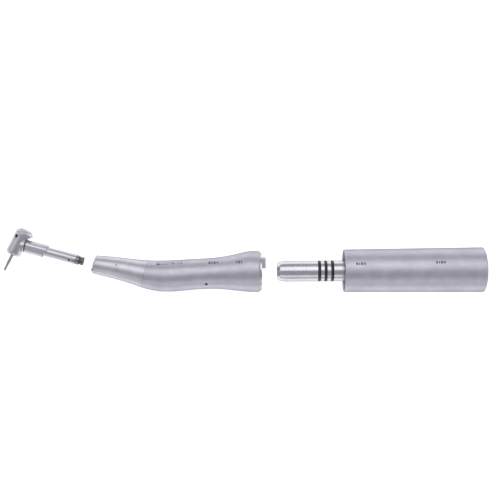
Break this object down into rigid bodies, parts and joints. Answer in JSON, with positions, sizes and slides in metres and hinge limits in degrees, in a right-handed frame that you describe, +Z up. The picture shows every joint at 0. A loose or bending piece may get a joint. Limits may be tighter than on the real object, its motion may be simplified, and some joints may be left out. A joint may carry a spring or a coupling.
{
  "type": "endodontic motor",
  "caption": "Dental micromotor with coupling spigot, angled handpiece and push-button latch head with a bur, laid out in line ready to plug together.",
  "frame": {"origin": "centre of the hose socket's mouth, on the motor's axis at its rear end", "axes": "+X along the motor's axis, out of its rear end towards the hose; +Y is the side that the handpiece bends to; +Z is up when the modules lie flat"},
  "size_m": [0.2269, 0.0321, 0.0212],
  "materials": {
    "blasted_case": "bead-blasted titanium-grey satin",
    "satin_case": "fine satin, brighter than the grip",
    "head_steel": "satin with softly polished edges",
    "bright_steel": "turned and polished",
    "machined_aluminium": "machined",
    "bearing_steel": "ground and polished",
    "gear_steel": "hardened, slightly dark",
    "core_iron": "stacked laminations",
    "magnet": "nickel-plated sintered magnet",
    "copper_wire": "enamelled copper wire",
    "gold_contact": "gold-plated",
    "circuit_board": "solder-masked board",
    "dark_plastic": "moulded, matt",
    "dark_glass": "dark tinted rod glass",
    "clear_glass": "clear fibre rod",
    "lamp_body": "lamp moulding",
    "black_rubber": "moulded O-ring rubber",
    "blue_enamel": "baked blue enamel",
    "grey_enamel": "baked grey enamel",
    "bur_steel": "stainless, ground"
  },
  "bodies": {
    "motor": {"motor_sleeve": "blasted_case", "front_plate": "dark_plastic", "lamp_window": "dark_glass", "lamp": "lamp_body", "tab_socket": "dark_plastic", "front_housing": "machined_aluminium", "front_bearing": "bearing_steel", "rear_bearing_plate": "machined_aluminium", "rear_bearing": "bearing_steel", "sensor_board": "circuit_board", "rear_cap": "dark_plastic", "hose_contacts": "gold_contact", "stator": "core_iron", "stator_windings": "copper_wire", "coupling_spigot": "bright_steel", "spigot_seal_1": "black_rubber", "spigot_seal_2": "black_rubber", "spigot_seal_3": "black_rubber", "nose_bearing": "bearing_steel"},
    "rotor": {"rotor_shaft": "bearing_steel", "rotor_magnet": "magnet", "drive_dog": "gear_steel"},
    "handpiece": {"grip": "blasted_case", "front_section": "satin_case", "neck_guide": "bright_steel", "nose_ring": "satin_case", "light_window": "dark_glass", "rear_ring": "bright_steel", "latch_tab": "bright_steel", "tab_contact_face": "dark_plastic", "light_rod": "clear_glass", "ratio_dot": "blue_enamel", "retaining_ring": "gear_steel", "bearing_carrier": "machined_aluminium", "carrier_front_bearing": "bearing_steel", "carrier_rear_bearing": "bearing_steel"},
    "body_shaft": {"body_drive_shaft": "bearing_steel", "bend_gear": "gear_steel", "driven_dog": "gear_steel"},
    "lock": {"lock_sleeve": "satin_case", "lock_index": "grey_enamel"},
    "head": {"head_shell": "head_steel", "head_ratio_dot": "blue_enamel", "collar_seal": "black_rubber", "neck_sleeve": "satin_case", "neck_end_ring": "gear_steel", "neck_front_bearing": "bearing_steel", "neck_rear_bearing": "bearing_steel", "lower_head_bearing": "bearing_steel", "upper_head_bearing": "bearing_steel"},
    "neck_drive": {"neck_shaft": "bearing_steel", "neck_pinion": "gear_steel", "neck_crown_gear": "gear_steel"},
    "chuck": {"chuck_spindle": "gear_steel", "chuck_gear": "gear_steel"},
    "cap": {"push_cap": "head_steel"},
    "bur": {"bur": "bur_steel"}
  },
  "joints": [
    {"name": "motor_spin", "type": "hinge", "parent": "motor", "child": "rotor", "pos_m": [0, 0, 0], "axis": [1, 0, 0], "continuous": true},
    {"name": "handpiece_plug", "type": "slide", "parent": "motor", "child": "handpiece", "axis": [1, 0, 0], "range_m": [0, 0.0385]},
    {"name": "body_shaft_spin", "type": "hinge", "parent": "handpiece", "child": "body_shaft", "pos_m": [-0.1482, 0, 0], "axis": [1, 0, 0], "continuous": true},
    {"name": "lock_twist", "type": "hinge", "parent": "handpiece", "child": "lock", "pos_m": [-0.1841, 0.004, 0], "axis": [0.9636, -0.2672, 0], "range_deg": [0, 25]},
    {"name": "head_plug", "type": "slide", "parent": "handpiece", "child": "head", "axis": [0.9636, -0.2672, 0], "range_m": [0, 0.03295]},
    {"name": "neck_shaft_spin", "type": "hinge", "parent": "head", "child": "neck_drive", "pos_m": [-0.22, 0.01395, 0], "axis": [0.9636, -0.2672, 0], "continuous": true},
    {"name": "chuck_spin", "type": "hinge", "parent": "head", "child": "chuck", "pos_m": [-0.22, 0.01395, 0], "axis": [0.4586, 0.8886, 0], "continuous": true},
    {"name": "push_button", "type": "slide", "parent": "head", "child": "cap", "axis": [-0.4586, -0.8886, 0], "range_m": [0, 0.0005], "stiffness_N_per_m": 1000},
    {"name": "bur_pull", "type": "slide", "parent": "chuck", "child": "bur", "axis": [-0.4586, -0.8886, 0], "range_m": [0, 0.012]}
  ],
  "couplings": [
    {"joint": "body_shaft_spin", "follows": "motor_spin", "ratio": 1},
    {"joint": "neck_shaft_spin", "follows": "motor_spin", "ratio": -1},
    {"joint": "chuck_spin", "follows": "motor_spin", "ratio": 1}
  ]
}
